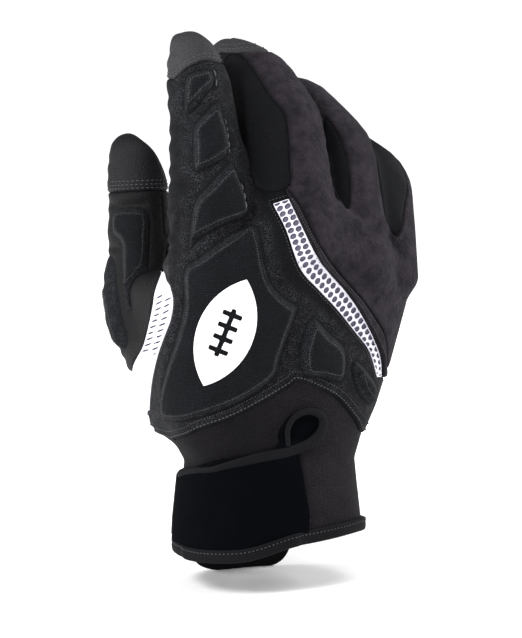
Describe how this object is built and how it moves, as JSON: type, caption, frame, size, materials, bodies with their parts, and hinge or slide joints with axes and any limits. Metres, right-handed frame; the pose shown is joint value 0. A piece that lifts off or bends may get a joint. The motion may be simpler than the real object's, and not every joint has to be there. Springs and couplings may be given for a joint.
{
  "type": "football glove",
  "caption": "Padded right-hand football glove with moulded back, finger and thumb pads, pierced mesh strips, suede side panels, a cuff with a wrap strap and a pull tab, held open as worn.",
  "frame": {"origin": "centre of the wrist opening, where the hem crosses the wrist's axis", "axes": "+Z from the wrist to the fingertips, -Y out of the back of the hand, +Y out of the palm, -X to the thumb side, +X to the little finger side"},
  "size_m": [0.125, 0.1082, 0.231],
  "materials": {
    "knit": "fine ribbed knit, matt",
    "suede": "napped synthetic suede, matt",
    "leather": "smooth synthetic leather, satin",
    "cap": "grained grip leather, grey",
    "mesh": "white open mesh, satin",
    "neoprene": "napped stretch cuff fabric",
    "pad": "moulded foam pad under fine knit, matt",
    "binding": "folded edge binding, satin",
    "mark": "raised white print"
  },
  "bodies": {
    "root": {"thumb_tip": "leather", "thumb_back_panel": "knit", "thumb_palm_panel": "suede", "index_side_panel": "leather", "middle_side_panel": "leather", "ring_side_panel": "leather", "little_side_panel": "leather", "index_fingertip_cap": "cap", "middle_fingertip_cap": "cap", "palm_panel": "suede", "knuckle_panel": "suede", "back_piping": "leather", "back_panel": "knit", "back_mesh_strip": "mesh", "thumb_mesh_strip": "mesh", "back_pad": "pad", "index_pad_1": "pad", "index_pad_2": "pad", "index_pad_3": "pad", "thumb_pad_1": "pad", "thumb_pad_2": "pad", "wrist_pad_1": "pad", "wrist_pad_2": "pad", "back_mark": "mark", "wrist_cuff": "neoprene", "hem_binding": "binding", "wrist_strap": "leather", "pull_tab": "binding"}
  },
  "joints": []
}
